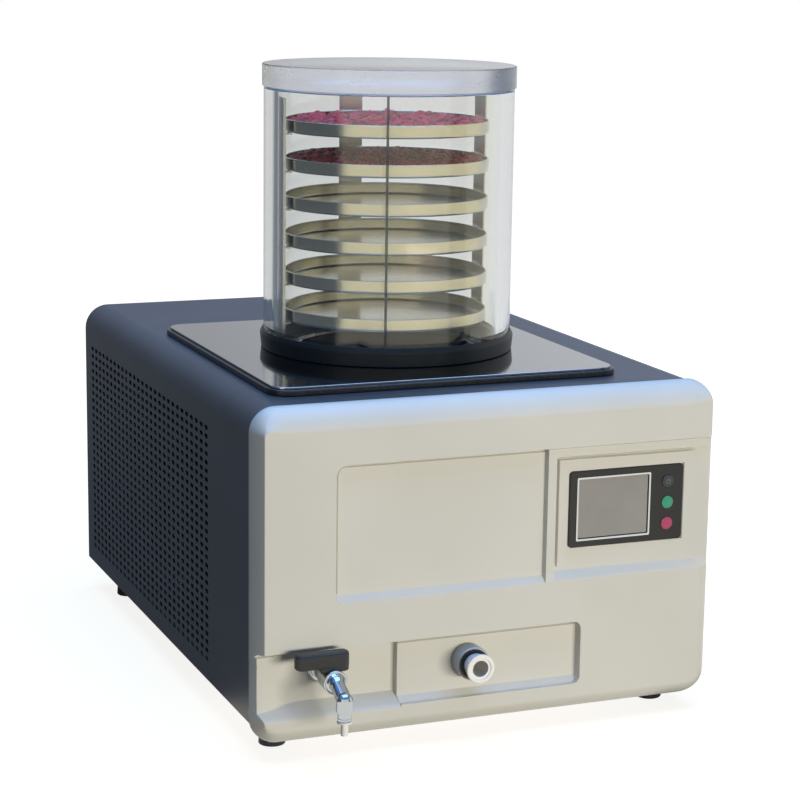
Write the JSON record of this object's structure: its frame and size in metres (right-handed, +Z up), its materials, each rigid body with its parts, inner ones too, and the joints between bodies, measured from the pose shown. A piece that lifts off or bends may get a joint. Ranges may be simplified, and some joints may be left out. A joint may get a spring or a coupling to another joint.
{
  "type": "freeze dryer",
  "caption": "Benchtop freeze dryer: clear drying chamber with tray rack over a cold vessel, on a cabinet with a front vacuum port, drain tap and control unit.",
  "frame": {"origin": "on the surface the feet stand on, under the middle of the whole object's box", "axes": "+Z up, -Y towards the front with the control unit, +X to the right seen from the front"},
  "size_m": [0.505, 0.741, 0.6709],
  "materials": {
    "cover_paint": "satin slate-grey paint",
    "panel_plastic": "fine satin cream moulding",
    "black_plastic": "satin black",
    "black_rubber": "matte black",
    "grey_plastic": "matte grey",
    "white_plastic": "matte white",
    "stainless": "polished",
    "chrome_plate": "mirror bright",
    "zinc_sheet": "dull zinc coat",
    "copper_tube": "drawn copper",
    "compressor_paint": "gloss black",
    "aluminium_fin": "mill finish",
    "clear_acrylic": "polished clear",
    "clear_seal": "translucent",
    "screen_glass": "glossy",
    "green_plastic": "satin green",
    "red_plastic": "satin red",
    "berry_skin": "moist dark red",
    "foam": "closed-cell foam",
    "board_green": "solder mask"
  },
  "bodies": {
    "cabinet": {"base_pan": "zinc_sheet", "cabinet_cover": "cover_paint", "capillary_line": "copper_tube", "chamber_gasket": "black_rubber", "chamber_lid": "clear_acrylic", "chamber_tube": "clear_acrylic", "cold_vessel": "stainless", "compressor": "compressor_paint", "compressor_mat": "black_rubber", "control_bezel": "black_plastic", "control_board": "board_green", "discharge_line": "copper_tube", "display_screen": "screen_glass", "drain_hose": "white_plastic", "electrical_box": "zinc_sheet", "evaporator_coil": "copper_tube", "fan_motor": "zinc_sheet", "fan_shroud": "black_plastic", "filter_drier": "copper_tube", "foot_front_left": "black_rubber", "foot_front_right": "black_rubber", "foot_rear_left": "black_rubber", "foot_rear_right": "black_rubber", "front_panel": "panel_plastic", "heat_exchanger": "aluminium_fin", "lid_seal": "clear_seal", "plate_frame": "black_plastic", "port_collar": "grey_plastic", "port_nozzle": "white_plastic", "port_seal": "black_rubber", "power_inlet": "black_plastic", "rack_ring": "stainless", "rack_upright_back": "stainless", "rack_upright_left": "stainless", "rack_upright_right": "stainless", "rear_panel": "cover_paint", "spout": "chrome_plate", "spout_nozzle": "white_plastic", "suction_line": "copper_tube", "switch_body": "black_plastic", "top_plate": "stainless", "tray_1": "stainless", "tray_1_load": "berry_skin", "tray_2": "stainless", "tray_2_load": "berry_skin", "tray_3": "stainless", "tray_4": "stainless", "tray_5": "stainless", "tray_6": "stainless", "vacuum_hose": "black_rubber", "valve_body": "chrome_plate", "vessel_bottom": "stainless", "vessel_insulation": "foam"},
    "tap_lever": {"valve_ball": "chrome_plate", "valve_handle": "black_plastic"},
    "fan": {"fan_rotor": "black_plastic"},
    "rocker_lever": {"rocker": "black_plastic"},
    "power_cap": {"power_button": "black_plastic"},
    "start_cap": {"start_button": "green_plastic"},
    "stop_cap": {"stop_button": "red_plastic"}
  },
  "joints": [
    {"name": "tap_turn", "type": "hinge", "parent": "cabinet", "child": "tap_lever", "pos_m": [-0.1795, -0.32596, 0.08], "axis": [0, 0, 1], "range_deg": [0, 90]},
    {"name": "power_press", "type": "slide", "parent": "cabinet", "child": "power_cap", "axis": [0, 1, 0], "range_m": [0, 0.001], "stiffness_N_per_m": 300, "springref_m": -0.001},
    {"name": "start_press", "type": "slide", "parent": "cabinet", "child": "start_cap", "axis": [0, 1, 0], "range_m": [0, 0.001], "stiffness_N_per_m": 300, "springref_m": -0.001},
    {"name": "stop_press", "type": "slide", "parent": "cabinet", "child": "stop_cap", "axis": [0, 1, 0], "range_m": [0, 0.001], "stiffness_N_per_m": 300, "springref_m": -0.001},
    {"name": "fan_spin", "type": "hinge", "parent": "cabinet", "child": "fan", "pos_m": [-0.181, 0.22204, 0.1479], "axis": [1, 0, 0], "continuous": true},
    {"name": "rocker_tilt", "type": "hinge", "parent": "cabinet", "child": "rocker_lever", "pos_m": [0.205, 0.36354, 0.13], "axis": [1, 0, 0], "range_deg": [-14, 0]}
  ]
}
